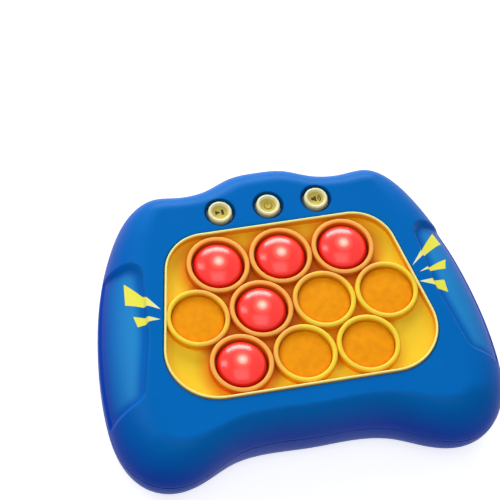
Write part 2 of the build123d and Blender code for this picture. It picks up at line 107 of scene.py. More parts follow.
# Panel outline, and the ring round each bubble, whose rounded top ends at the crest's radius.
GRID_SHIFT = -3.5 * MM
PANEL_DEPTH = 71.5 * MM
PANEL_BACK = 32.5 * MM
PANEL_BACK_HALF = 43.1 * MM
PANEL_FRONT_HALF = 58.4 * MM
PANEL_RADII = (17.0 * MM, 17.0 * MM, 20.0 * MM, 20.0 * MM)
PANEL_FIT = 0.2 * MM
PANEL_PLATE = 2.0 * MM
PLATE_PLAY = 0.1 * MM
SAMPLE_STEP = 0.4 * MM
RING_BORE = 10.4 * MM
RING_RADIUS = 12.7 * MM
RING_CREST = 12.5 * MM

# Bubbles: two soft shapes, one raised and one pressed in.
DOME_RADIUS = 9.65 * MM
DOME_FOOT = 35.5 * MM
DOME_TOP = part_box("bubble_back_1")[1].z
DISC_RADIUS = 10.25 * MM
DISC_FOOT = 36.4 * MM
DISC_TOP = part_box("bubble_middle_1")[1].z
CAP_WALL = 1.2 * MM
RAISED = ("back_1", "back_2", "back_3", "middle_2", "front_1")
BUBBLES = ("back_1", "back_2", "back_3", "middle_1", "middle_2", "middle_3", "middle_4",
           "front_1", "front_2", "front_3")

# Control buttons and the dimples round them.
BUTTONS = ("mode_button", "power_button", "sound_button")
BUTTON_RADIUS = 4.65 * MM
BUTTON_HOLE = 5.2 * MM
BUTTON_DISH = 0.8 * MM
BUTTON_RIM = 0.67 * MM
DIMPLE_RADIUS = 6.0 * MM
DIMPLE_DEPTH = 1.2 * MM

# Screws: where they sit, in mm, and their heads.
DOOR_SCREWS = ((0, -28.2), (0, 28.2))
CASE_SCREWS = ((-61.0, 10.48), (61.0, 10.48), (-63.02, -49.02), (63.02, -49.02),
               (-45.0, 45.53), (45.0, 45.53))
SCREW_HEAD_RADIUS = 2.5 * MM
SCREW_HEAD = 1.6 * MM
SCREW_RADIUS = 1.3 * MM

# Printed marks and rays: how far the ink goes into a dish and stands out of it, how finely a ray
# is cut, its gap to the casing, and the tip and the two far corners of each ray, in mm.
INK_SUNK = 0.1 * MM
INK_PROUD = 0.08 * MM
RAY_CUTS = 56
RAY_LIFT = 0.05 * MM
RAYS = (
    ((-51.0, 2.4), (-63.2, 9.1), (-61.9, 18.5)),
    ((-51.9, -1.8), (-61.3, 3.0), (-60.6, -2.0)),
    ((49.9, 4.9), (66.0, 16.9), (63.5, 21.6)),
    ((52.1, 1.7), (64.0, 4.1), (65.6, 9.0)),
    ((50.9, -2.3), (62.0, -7.0), (61.9, -1.3)),
)

# Finishes: relief of the grain, corners that stay crisp, and how far from its middle a bubble's
# ring ends, its painted shade on the panel goes and its painted lamp glow reaches.
WHITE = (1.0, 1.0, 1.0, 1.0)
GRAIN_DEPTH = 0.1 * MM
SHARP_ANGLE = math.radians(35)
RING_FOOT = 12.6 * MM
CROWD_REACH = 17.0 * MM
LAMP_REACH = 18.5 * MM

# Where the paints change: heights of the casing's roll and dimples (painted shade), the rings'
# crests (painted highlight), the panel's floor (painted shade on the slopes above it) and the
# lip's crest (painted highlight), depth inside a grip's edge (painted highlight), and distance
# from a cell's middle.
ROLL_BAND = (CASING_TOP - 1.5 * MM, CASING_TOP - 15 * MM)
DIMPLE_BAND = (CASING_TOP - 4 * MM, CASING_TOP - 3 * MM)
CREST_BAND = (CASING_TOP - 0.45 * MM, CASING_TOP - 0.1 * MM)
FLOOR_BAND = (PLATE_LOW + PANEL_PLATE + 0.5 * MM, PLATE_LOW + PANEL_PLATE + 0.1 * MM)
LIP_BAND = (LIP_TOP - 0.7 * MM, LIP_TOP - 0.3 * MM)
GRIP_BAND = (0.5 * MM, 5 * MM)
JACKET_BAND = (13 * MM, 24.5 * MM)

# Finishes of the inner parts: slot, name, colour, roughness, and where not 0, metallic and coat.
INNER_FINISHES = (
    ("white_tray", "tray plastic", (226, 226, 222), 0.45),
    ("green_board", "board mask", (18, 110, 62), 0.35, 0.0, 0.4),
    ("black_switch", "switch plastic", (30, 30, 32), 0.4),
    ("clear_lamp", "lamp lens", (235, 235, 240), 0.1),
    ("black_potting", "potting", (18, 18, 20), 0.3),
    ("speaker_steel", "pressed steel", (170, 172, 176), 0.35, 1.0),
    ("dark_magnet", "magnet", (70, 72, 76), 0.4, 1.0),
    ("paper_cone", "cone paper", (45, 44, 44), 0.8),
    ("nickel_contact", "nickel", (205, 200, 188), 0.25, 1.0),
    ("red_lead", "red lead", (190, 20, 20), 0.45),
    ("black_lead", "black lead", (22, 22, 24), 0.45),
    ("clear_plunger", "clear plunger", (232, 236, 240), 0.2),
)

# Camera fitted to the photograph: where it looks, from which way, and how far off.
VIEW_TARGET = Vector((-11.44 * MM, 22.16 * MM, BODY_HEIGHT))
VIEW_AZIMUTH = math.radians(-21.752)
VIEW_ELEVATION = math.radians(60.104)
VIEW_ROLL = math.radians(10.658)
VIEW_DISTANCE = 1029.0 * MM
VIEW_LENS = 190.5

# Floor and world: half the floor's width, its depth below the part, the light that each gives,
# and the glow with which the floor itself is seen.
FLOOR_HALF = 3.0
FLOOR_DROP = 0.05 * MM
FLOOR_GLOW = 0.30
FLOOR_SHOWN = 0.68
WORLD_GLOW = 0.31

# Soft boxes: name, direction, distance, width, height and power.
LAMPS = (
    ("left soft box", (-0.68, 0.42, 0.60), 1.1, 0.26, 0.55, 2.6),
    ("back soft box", (0.12, 0.93, 0.34), 1.2, 1.10, 0.42, 15.0),
    ("top soft box", (-0.05, -0.35, 0.93), 1.2, 0.90, 0.90, 4.4),
)


def srgb(red, green, blue):
    """Linear colour of a screen colour given in shares of 255."""
    def linear(value):
        share = value / 255
        return share / 12.92 if share <= 0.04045 else ((share + 0.055) / 1.055) ** 2.4
    return (linear(red), linear(green), linear(blue), 1.0)


class BubbleGameSizes(bpy.types.PropertyGroup):
    """Soft edges and small details that a user may change."""

    rim_radius: FloatProperty(
        name="Opening edge", description="Rounding of the casing's edge round the panel",
        default=0.7 * MM, unit="LENGTH")
    step_width: FloatProperty(
        name="Grip step", description="Width of the soft step round each grip recess",
        default=2.6 * MM, unit="LENGTH")
    seam: FloatProperty(
        name="Parting seam", description="Rounding of the two shells where they meet",
        default=0.25 * MM, unit="LENGTH")
    ring_round: FloatProperty(
        name="Ring rounding", description="Rounding of the top of each bubble ring",
        default=0.95 * MM, unit="LENGTH")
    lip_width: FloatProperty(
        name="Panel lip", description="Width of the raised lip round the panel",
        default=0.95 * MM, unit="LENGTH")


# Size and limits of every colour.
RGBA = {"size": 4, "min": 0, "max": 1}


class BubbleGameColours(bpy.types.PropertyGroup):
    """Colours of the moulded and soft pieces."""

    casing: FloatVectorProperty(
        name="Casing", description="Colour of the two shells",
        default=srgb(0, 106, 190), subtype="COLOR", **RGBA)
    # Painted highlight: the lighter blue in the grip recesses.
    grip: FloatVectorProperty(
        name="Grip", description="Lighter blue of the rubbed grip recesses",
        default=srgb(48, 156, 220), subtype="COLOR", **RGBA)
    # Painted shade: the deeper blue low on the rolled edge.
    casing_shade: FloatVectorProperty(
        name="Casing edge", description="Deeper blue low on the rolled edge",
        default=srgb(0, 64, 176), subtype="COLOR", **RGBA)
    panel: FloatVectorProperty(
        name="Panel", description="Colour of the panel",
        default=srgb(254, 212, 42), subtype="COLOR", **RGBA)
    # Painted highlight: the lip's pale colour over the panel's yellow.
    lip: FloatVectorProperty(
        name="Panel lip", description="Colour of the lip round the panel",
        default=srgb(255, 246, 150), subtype="COLOR", **RGBA)
    ray: FloatVectorProperty(
        name="Rays", description="Colour of the printed rays",
        default=srgb(244, 240, 78), subtype="COLOR", **RGBA)
    lit: FloatVectorProperty(
        name="Lit bubble", description="Colour of a lit bubble",
        default=srgb(250, 34, 24), subtype="COLOR", **RGBA)
    unlit: FloatVectorProperty(
        name="Unlit bubble", description="Colour of an unlit bubble",
        default=srgb(248, 160, 0), subtype="COLOR", **RGBA)
    button: FloatVectorProperty(
        name="Button", description="Colour of the control buttons",
        default=srgb(242, 236, 184), subtype="COLOR", **RGBA)


def sizes():
    """The user's sizes."""
    return bpy.context.scene.bubble_game_sizes


def colours():
    """The user's colours."""
    return bpy.context.scene.bubble_game_colours


def closed_spline(points, knots, places):
    """Smooth closed curve through the points, at places from 0 to 1 along it."""
    rows = np.arange(len(points))
    steps = np.diff(knots)
    before = np.roll(steps, 1)
    matrix = np.diag(2 * (before + steps))
    matrix[rows, rows - 1] += before
    matrix[rows, (rows + 1) % len(points)] += steps
    following = np.roll(points, -1, axis=0)
    slope = (following - points) / steps[:, None]
    bend = np.linalg.solve(matrix, 6 * (slope - np.roll(slope, 1, axis=0)))
    index = np.clip(np.searchsorted(knots, places, side="right") - 1, 0, rows[-1])
    step = steps[index][:, None]
    left = (knots[index + 1] - places)[:, None]
    right = (places - knots[index])[:, None]
    bend_after = np.roll(bend, -1, axis=0)[index]
    return (bend[index] * left**3 / (6 * step) + bend_after * right**3 / (6 * step)
            + (points[index] / step - bend[index] * step / 6) * left
            + (following[index] / step - bend_after * step / 6) * right)


def outward(outline):
    """Outward direction at each point of a closed outline that runs clockwise."""
    along = np.roll(outline, -1, axis=0) - np.roll(outline, 1, axis=0)
    across = np.stack((-along[:, 1], along[:, 0]), axis=1)
    return across / np.linalg.norm(across, axis=1)[:, None]


def casing_plan(places, wall, roll):
    """Plan points round the casing, drawn in by a wall and by a share of the edge roll."""
    half = [(x * BODY_WIDTH / 2, y * BODY_DEPTH / 2, run) for x, y, run in OUTLINE_SHARES]
    points = np.array(half + [(-x, y, run) for x, y, run in reversed(half[1:-1])])
    plan = points[:, :2]
    chords = np.linalg.norm(np.roll(plan, -1, axis=0) - plan, axis=1)
    knots = np.concatenate(([0.0], np.cumsum(chords) / chords.sum()))
    inward = -outward(plan)
    run = inward * points[:, 2:] * CROWN_RUN
    curve = closed_spline(np.hstack((plan, inward, run)), knots, places)
    share = np.broadcast_to(roll, len(places))[:, None]
    return curve[:, :2] + curve[:, 2:4] * wall + curve[:, 4:] * share


def rounded(corners, radii, steps=10):
    """Closed outline through the corners with each one rounded by its own radius."""
    outline = []
    for index, (corner, radius) in enumerate(zip(corners, radii)):
        here = Vector(corner)
        back = (Vector(corners[index - 1]) - here).normalized()
        on = (Vector(corners[(index + 1) % len(corners)]) - here).normalized()
        half = back.angle(on) / 2
        centre = here + (back + on).normalized() * (radius / math.sin(half))
        first = here + back * (radius / math.tan(half)) - centre
        last = here + on * (radius / math.tan(half)) - centre
        for step in range(steps + 1):
            outline.append(centre + first.slerp(last, step / steps).normalized() * radius)
    return np.array([tuple(point) for point in outline])


def smooth_share(value, low, high):
    """Soft step from 0 to 1 between two values."""
    share = np.clip((value - low) / (high - low), 0, 1)
    return share * share * (3 - 2 * share)


def depth_inside(points, outline):
    """Distance of each plan point inside a closed outline, negative outside."""
    ends = np.roll(outline, -1, axis=0)
    sides = ends - outline
    offsets = points[:, None] - outline
    length = np.maximum((sides**2).sum(axis=1), 1e-18)
    share = np.clip((offsets * sides).sum(axis=2) / length, 0, 1)
    nearest = np.linalg.norm(offsets - share[..., None] * sides, axis=2).min(axis=1)
    x, y = points[:, :1], points[:, 1:]
    crosses = (outline[:, 1] > y) != (ends[:, 1] > y)
    rise = np.where(np.abs(sides[:, 1]) < 1e-12, 1e-12, sides[:, 1])
    at = outline[:, 0] + (y - outline[:, 1]) * sides[:, 0] / rise
    odd = (crosses & (x < at)).sum(axis=1) % 2 == 1
    return np.where(odd, nearest, -nearest)


def grip_inside(plan):
    """Distance of each plan point inside the outline of its side's grip recess."""
    corners = [(x * BODY_WIDTH / 2, y * BODY_DEPTH / 2) for x, y in GRIP_SHARES]
    mirrored = np.stack((np.abs(plan[:, 0]), plan[:, 1]), axis=1)
    return depth_inside(mirrored, rounded(corners, GRIP_RADII))


def grip_share(plan, height):
    """How far each point of the casing belongs to a grip recess, from 0 to 1."""
    width = sizes().step_width
    above = smooth_share(height, GRIP_FOOT - width / 2, GRIP_FOOT + width / 2)
    return smooth_share(grip_inside(plan), -width / 2, width / 2) * above


def panel_loop(margin, angles):
    """Panel outline grown by a margin, sampled along rays at the given angles."""
    front = PANEL_BACK - PANEL_DEPTH
    corners = ((-PANEL_BACK_HALF, PANEL_BACK), (PANEL_BACK_HALF, PANEL_BACK),
               (PANEL_FRONT_HALF, front), (-PANEL_FRONT_HALF, front))
    outline = rounded(corners, PANEL_RADII, steps=24)
    outline = outline + outward(outline) * margin
    fine = []
    for start, end in zip(outline, np.roll(outline, -1, axis=0)):
        pieces = max(1, int(np.linalg.norm(end - start) / SAMPLE_STEP))
        fine.extend(start + (end - start) * step / pieces for step in range(pieces))
    fine = np.array(fine) - (0, GRID_SHIFT)
    turn = np.arctan2(fine[:, 1], fine[:, 0])
    order = np.argsort(turn)
    reach = np.interp(angles, turn[order], np.linalg.norm(fine, axis=1)[order], period=2 * math.pi)
    return np.stack((reach * np.cos(angles), reach * np.sin(angles) + GRID_SHIFT), axis=1)


def at_height(plan, height):
    """Plan points lifted to one height, or each to its own."""
    return np.column_stack((plan, np.broadcast_to(height, len(plan))))


def between(start, end, share):
    """Points on the way from one set to another, each by its own share."""
    return start * (1 - share[:, None]) + end * share[:, None]


def closed(bm):
    """Bmesh whose touching vertices are merged and whose faces point outwards."""
    bmesh.ops.remove_doubles(bm, verts=bm.verts, dist=0.001 * MM)
    bmesh.ops.recalc_face_normals(bm, faces=bm.faces)
    return bm


def laid(bm, places):
    """Closed bmesh of a grid whose vertices are put in their places."""
    for vert, place in zip(bm.verts, places):
        vert.co = place
    return closed(bm)


def skin(loops):
    """Closed skin through loops of points, the last of which meets the first."""
    bm = bmesh.new()
    bmesh.ops.create_grid(bm, x_segments=len(loops[0]), y_segments=len(loops), size=1.0)
    return laid(bm, np.vstack([np.vstack((loop, loop[:1])) for loop in loops + loops[:1]]))


def turned(profile, centre, segments=96):
    """Solid turned about an upright axis from radius and height pairs."""
    bm = bmesh.new()
    verts = [bm.verts.new((radius, 0, height)) for radius, height in profile]
    edges = [bm.edges.new(pair) for pair in zip(verts, verts[1:])]
    if profile[0][0] > 0 or profile[-1][0] > 0:
        edges.append(bm.edges.new((verts[-1], verts[0])))
    bmesh.ops.spin(bm, geom=verts + edges, axis=(0, 0, 1), cent=(0, 0, 0), angle=2 * math.pi,
                   steps=segments, use_merge=True)
    closed(bm)
    bmesh.ops.translate(bm, verts=bm.verts, vec=(centre[0], centre[1], 0))
    return bm


def placed(name, data):
    """New object in the scene."""
    made = bpy.data.objects.new(name, data)
    bpy.context.scene.collection.objects.link(made)
    return made


def corner(centre, radius, first, last, steps=5):
    """Small arc of a profile about a centre, between two angles in degrees."""
    turns = [math.radians(first + (last - first) * step / steps) for step in range(steps + 1)]
    return [(centre[0] + radius * math.cos(turn), centre[1] + radius * math.sin(turn))
            for turn in turns]


def slab(outline, low, high):
    """Flat plate over a closed plan outline."""
    bm = bmesh.new()
    face = bm.faces.new([bm.verts.new((point[0], point[1], low)) for point in outline])
    made = bmesh.ops.extrude_face_region(bm, geom=[face])["geom"]
    raised = [vert for vert in made if isinstance(vert, bmesh.types.BMVert)]
    bmesh.ops.translate(bm, verts=raised, vec=(0, 0, high - low))
    bmesh.ops.recalc_face_normals(bm, faces=bm.faces)
    return bm


def as_object(name, bm):
    """Object from a finished bmesh."""
    mesh = bpy.data.meshes.new(name)
    bm.to_mesh(mesh)
    bm.free()
    return placed(name, mesh)


def joined(name, parts):
    """One object from several bmeshes."""
    whole = bmesh.new()
    for part in parts:
        mesh = bpy.data.meshes.new("part")
        part.to_mesh(mesh)
        part.free()
        whole.from_mesh(mesh)
        bpy.data.meshes.remove(mesh)
    return as_object(name, whole)


def cut(piece, cutters, overlapping=False):
    """Take cutters out of a piece, or out of a piece whose own parts overlap."""
    tool = joined("cutters", cutters)
    modifier = piece.modifiers.new("cut", "BOOLEAN")
    modifier.operation = "DIFFERENCE"
    modifier.solver = "EXACT"
    modifier.use_self = overlapping
    modifier.object = tool
    graph = bpy.context.evaluated_depsgraph_get()
    piece.data = bpy.data.meshes.new_from_object(piece.evaluated_get(graph))
    piece.modifiers.clear()
    bpy.data.objects.remove(tool)


def settle(piece, material, body, stands_for=None):
    """Finish a piece: its material, crisp edges, the body it rides on and what it stands for."""
    piece.data.materials.clear()
    piece.data.materials.append(material)
    piece.data.shade_smooth()
    piece.data.set_sharp_from_angle(angle=SHARP_ANGLE)
    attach(piece, body)
    if stands_for:
        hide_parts(stands_for)


def places_of(piece):
    """Place of each vertex of a piece."""
    return np.array([vert.co[:] for vert in piece.data.vertices])


def mark(piece, name, values):
    """Attribute that gives each vertex of a piece its value, no more than 1."""
    attribute = piece.data.attributes.new(name, "FLOAT", "POINT")
    attribute.data.foreach_set("value", np.minimum(values, 1))


def mark_across(piece, place, radius):
    """Attribute that runs from 0 at a turned piece's middle to 1 at its edge."""
    mark(piece, "across", np.linalg.norm(places_of(piece)[:, :2] - place, axis=1) / radius)


def arc_band(inner, outer, first, last):
    """Outline of a band between two radii and two angles in degrees."""
    outside, inside = (corner((0, 0), radius, first, last, steps=24) for radius in (outer, inner))
    return outside + inside[::-1]


# Printed marks: the outlines in each, in mm about the middle of its button.
MARKS = {
    "mode_button": ([(-1.9, -0.95), (-1.9, 0.95), (0.2, 0)],
                    [(0.5, -1.1), (0.5, 1.1), (1.5, 1.1), (1.5, -1.1)]),
    "power_button": (arc_band(1.25, 1.75, 120, 420),
                     [(-0.25, 0.2), (-0.25, 2.1), (0.25, 2.1), (0.25, 0.2)]),
    "sound_button": (
        [(-1.9, -0.6), (-1.9, 0.6), (-1.1, 0.6), (0.1, 1.4), (0.1, -1.4), (-1.1, -0.6)],
        arc_band(0.75, 1.15, -50, 50), arc_band(1.6, 2.0, -50, 50)),
}


def centre_of(node):
    """Middle of a node in plan."""
    low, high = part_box(node)
    return ((low.x + high.x) / 2, (low.y + high.y) / 2)


def bubble_places(names=BUBBLES):
    """Middles of some bubbles in plan, or of all."""
    return [centre_of(f"bubble_{name}") for name in names]


def casing_skin():
    """Upper casing as a grid that is refined round the grip steps and then laid in place."""
    bm = bmesh.new()
    bmesh.ops.create_grid(bm, x_segments=AROUND, y_segments=sum(STRIPS), size=1.0)
    bm.verts.index_update()
    around, stage = grid_places(bm)
    outer = rolled_edge(around, np.minimum(stage, 1))
    flat = stage > 1
    outer[flat] = flat_top(around[flat], np.minimum(stage[flat] - 1, 1))
    width = sizes().step_width
    inside = grip_inside(outer[:, :2])
    step = (np.abs(inside) < 1.3 * width) & (outer[:, 2] > GRIP_FOOT - width)
    foot = (inside > -1.3 * width) & (np.abs(outer[:, 2] - GRIP_FOOT) < width)
    fine = (stage <= 2) & (step | foot)
    edges = [edge for edge in bm.edges if all(fine[vert.index] for vert in edge.verts)]
    bmesh.ops.subdivide_edges(bm, edges=edges, cuts=2, use_grid_fill=True)
    around, stage = grid_places(bm)
    places = np.zeros((len(around), 3))
    forms = (rolled_edge, flat_top, opening_rim, opening_wall, underside, inner_roll, joint_face)
    for index, form in enumerate(forms):
        here = (stage >= index) & (stage <= index + 1)
        places[here] = form(around[here], stage[here] - index)
    return laid(bm, places)


def grid_places(bm):
    """Place round the casing, from 0 to 1, and stage across its skin of each vertex."""
    flat = np.array([vert.co[:2] for vert in bm.verts])
    rows = (flat[:, 1] + 1) / 2 * sum(STRIPS)
    ends = np.concatenate(([0], np.cumsum(STRIPS)))
    return np.clip((flat[:, 0] + 1) / 2, 0, 1), np.interp(rows, ends, range(len(ends)))


def sunk_at_grips(outer, plan, height):
    """Outer points of the casing, let down to others in the grip recesses."""
    return between(outer, at_height(plan, height), grip_share(outer[:, :2], outer[:, 2]))


def rolled_edge(around, share):
    """Outer roll from the parting seam up to the flat, sunk at the grips."""
    turn = share * math.pi / 2
    roll, rise = 1 - np.cos(turn), np.sin(turn)
    plan = casing_plan(around, 0, roll)
    towards = np.degrees(np.arctan2(plan[:, 1], plan[:, 0]))
    swell = np.interp(towards, *np.transpose(BACK_SWELL)) * MM * (1 - smooth_share(share, 0, 0.45))
    seam = sizes().seam * (1 - smooth_share(share, 0, 0.03))
    outer = at_height(plan * (1 + (swell - seam) / HALF_WIDTH)[:, None],
                      SPLIT_HEIGHT + (BODY_HEIGHT - SPLIT_HEIGHT) * rise)
    return sunk_at_grips(outer, casing_plan(around, GRIP_LIP, roll),
                         SPLIT_HEIGHT + (GRIP_FLOOR - SPLIT_HEIGHT) * rise)


def opening(around, margin=0.0):
    """Edge of the panel's opening, with a margin, at each place round the casing."""
    top = casing_plan(around, 0, 1)
    return panel_loop(PANEL_FIT + margin, np.arctan2(top[:, 1] - GRID_SHIFT, top[:, 0]))


def flat_top(around, share):
    """Flat from the roll to the panel opening, sunk at the grips."""
    edge = opening(around, sizes().rim_radius)
    outer = at_height(between(casing_plan(around, 0, 1), edge, share), BODY_HEIGHT)
    return sunk_at_grips(outer, between(casing_plan(around, GRIP_LIP, 1), edge, share), GRIP_FLOOR)


def opening_rim(around, share):
    """Rounded edge of the panel opening."""
    turn = share * math.pi / 2
    rim = sizes().rim_radius
    plan = between(opening(around), opening(around, rim), 1 - np.sin(turn))
    return at_height(plan, BODY_HEIGHT - rim * (1 - np.cos(turn)))


def opening_wall(around, share):
    """Wall of the panel opening down to the underside of the roof."""
    drop = sizes().rim_radius * (1 - share) + ROOF * share
    return at_height(opening(around), BODY_HEIGHT - drop)


def underside(around, share):
    """Underside of the roof, out to the inner roll."""
    plan = between(opening(around), casing_plan(around, SIDE_WALL, 1), share)
    return at_height(plan, BODY_HEIGHT - ROOF)


def inner_roll(around, share):
    """Inside of the rolled edge, down to the parting seam."""
    turn = (1 - share) * math.pi / 2
    plan = casing_plan(around, SIDE_WALL, 1 - np.cos(turn))
    return at_height(plan, SPLIT_HEIGHT + (BODY_HEIGHT - ROOF - SPLIT_HEIGHT) * np.sin(turn))


def joint_face(around, share):
    """Face that meets the lower shell, from the inside out to the skin's first row."""
    start = np.zeros(len(around))
    return between(inner_roll(around, start + 1), rolled_edge(around, start), share)


class Recipe:
    """Small builder for one material's or one group's nodes."""

    def __init__(self, tree):
        self.tree = tree
        self.column = 0

    def feed(self, node, inputs):
        """Link or set inputs of a node, by name or number."""
        for key, value in inputs.items():
            if isinstance(value, bpy.types.NodeSocket):
                self.tree.links.new(value, node.inputs[key])
            else:
                node.inputs[key].default_value = value

    def add(self, kind, inputs=None, **settings):
        """Add a node, set its fields, then feed it."""
        node = self.tree.nodes.new(kind)
        self.column += 1
        node.location = (self.column * 180, 0)
        for field, value in settings.items():
            setattr(node, field, value)
        self.feed(node, inputs or {})
        return node

    def place(self):
        """Place on the piece, on its object's axes."""
        return self.add("ShaderNodeTexCoord").outputs["Object"]

    def along(self, axis):
        """Place along one axis."""
        return self.add("ShaderNodeSeparateXYZ", {0: self.place()}).outputs[axis]

    def attribute(self, name):
        """Value of a piece's attribute."""
        return self.add("ShaderNodeAttribute", attribute_name=name).outputs["Fac"]

    def noise(self, scale, detail):
        """Cloudy pattern from 0 to 1."""
        inputs = {"Vector": self.place(), "Scale": scale, "Detail": detail}
        return self.add("ShaderNodeTexNoise", inputs).outputs[0]

    def math(self, operation, first, second=0.0, clamp=False):
        """Math node's result."""
        return self.add("ShaderNodeMath", {0: first, 1: second}, operation=operation,
                        use_clamp=clamp).outputs[0]

    def mix(self, share, first, second, blend="MIX"):
        """Colour mixed by a share."""
        inputs = {"Factor": share, 6: first, 7: second}
        return self.add("ShaderNodeMix", inputs, data_type="RGBA", blend_type=blend).outputs[2]

    def span(self, value, low, high, out_low=0.0, out_high=1.0):
        """Value taken from one range to another, held at its ends."""
        inputs = {"Value": value, "From Min": low, "From Max": high,
                  "To Min": out_low, "To Max": out_high}
        return self.add("ShaderNodeMapRange", inputs).outputs[0]

    def falloff(self, places, inner, outer, operation="MAXIMUM"):
        """Mask round places in plan, 1 within the inner radius and 0 past the outer."""
        mask = 0.0
        for place in places:
            inputs = {"Centre": (*place, 0), "Inner": inner, "Outer": outer}
            near = self.group("Round Falloff", inputs, ("Mask",), round_falloff)
            mask = self.math(operation, near["Mask"], mask)
        return mask

    def group(self, name, inputs, outputs, build):
        """Outputs of a shader group, which is made the first time it is placed."""
        tree = node_group(name, inputs, outputs, build)
        return self.add("ShaderNodeGroup", inputs, node_tree=tree).outputs


def node_group(name, inputs, outputs, build):
    """Shader group, made once from its inputs by build, which gives its outputs."""
    if name in bpy.data.node_groups:
        return bpy.data.node_groups[name]
    tree = bpy.data.node_groups.new(name, "ShaderNodeTree")
    for label, value in inputs.items():
        kind = "NodeSocketVector" if isinstance(value, tuple) else "NodeSocketFloat"
        socket = tree.interface.new_socket(label, in_out="INPUT", socket_type=kind)
        socket.default_value = value
    for label in outputs:
        tree.interface.new_socket(label, in_out="OUTPUT", socket_type="NodeSocketFloat")
    recipe = Recipe(tree)
    recipe.add("NodeGroupOutput", build(recipe, recipe.add("NodeGroupInput").outputs))
    return tree


def moulded_surface(recipe, given):
    """Fine texture of moulded plastic: height for a bump, and a roughness that drifts."""
    swing = recipe.math("SUBTRACT", recipe.noise(38.0, 2.0), 0.5)
    specks = recipe.span(recipe.noise(210.0, 5.0), 0.55, 0.75, 0.0, 0.05)
    drift = recipe.math("MULTIPLY", swing, given["Drift"])
    rough = recipe.math("ADD", given["Base Roughness"], drift)
    return {"Height": recipe.noise(given["Grain Size"], 3.0),
            "Roughness": recipe.math("ADD", rough, specks, clamp=True),
            "Tone": recipe.math("ADD", swing, 0.5)}


def round_falloff(recipe, given):
    """Mask that is 1 near an upright axis and fades out round it."""
    flat = recipe.add("ShaderNodeVectorMath", {0: recipe.place(), 1: (1, 1, 0)},
                      operation="MULTIPLY").outputs[0]
    away = recipe.add("ShaderNodeVectorMath", {0: flat, 1: given["Centre"]}, operation="DISTANCE")
    return {"Mask": recipe.span(away.outputs["Value"], given["Outer"], given["Inner"])}


def new_material(name):
    """Material with its own recipe and shader."""
    material = bpy.data.materials.new(name)
    material.use_nodes = True
    material.node_tree.nodes.clear()
    recipe = Recipe(material.node_tree)
    shader = recipe.add("ShaderNodeBsdfPrincipled")
    recipe.add("ShaderNodeOutputMaterial", {0: shader.outputs[0]})
    return material, recipe, shader


def moulded(name, paint, roughness=0.35, grain=900.0, bump=0.02, drift=0.08, tint=0.10,
            glow=0.0, **extra):
    """Moulded plastic or silicone: paint is a colour, or makes one from the recipe.

    Further inputs of the shader are given by name, underscores standing for spaces.
    """
    material, recipe, shader = new_material(name)
    inputs = {"Grain Size": grain, "Base Roughness": roughness, "Drift": drift}
    outputs = ("Height", "Roughness", "Tone")
    surface = recipe.group("Moulded Surface", inputs, outputs, moulded_surface)
    relief = recipe.add("ShaderNodeBump", {"Strength": bump, "Distance": GRAIN_DEPTH,
                                           "Height": surface["Height"]})
    colour = paint(recipe) if callable(paint) else paint
    shade = recipe.mix(surface["Tone"], (1 - tint,) * 3 + (1.0,), WHITE)
    recipe.feed(shader, {"Base Color": recipe.mix(1.0, colour, shade, blend="MULTIPLY"),
                         "Roughness": surface["Roughness"], "Normal": relief.outputs[0],
                         "Specular IOR Level": 0.2, "Emission Strength": glow})
    if glow:
        recipe.feed(shader, {"Emission Color": colour})
    recipe.feed(shader, {key.replace("_", " "): value for key, value in extra.items()})
    return material


def ramp_across(recipe, *stops):
    """Colour that changes with the "across" attribute, from a piece's middle to its edge."""
    ramp = recipe.add("ShaderNodeValToRGB", {"Fac": recipe.attribute("across")})
    elements = ramp.color_ramp.elements
    elements[0].position, elements[0].color = stops[0]
    elements[1].position, elements[1].color = stops[-1]
    for position, colour in stops[1:-1]:
        elements.new(position).color = colour
    return ramp.outputs[0]


def casing_paint(recipe):
    """Blue with painted shade on its roll and dimples and a painted highlight in its grips."""
    height = recipe.along("Z")
    roll = recipe.span(height, *ROLL_BAND)
    # Painted shade: the blue deepens down the rolled edge.
    blue = recipe.mix(roll, colours().casing, colours().casing_shade)
    # Painted highlight: lighter blue in the grips, strongest high on the roll.
    highlit = recipe.span(roll, 0.1, 0.9, 0.75, 0.0)
    grip = recipe.math("MULTIPLY", recipe.attribute("grip"), highlit)
    # Painted shade: a darker blue in the dimple round each button.
    places = [centre_of(name) for name in BUTTONS]
    near = recipe.falloff(places, DIMPLE_RADIUS - 0.3 * MM, DIMPLE_RADIUS + 0.6 * MM)
    dimple = recipe.math("MULTIPLY", near, recipe.span(height, *DIMPLE_BAND))
    return recipe.mix(dimple, recipe.mix(grip, blue, colours().grip), srgb(0, 56, 106))


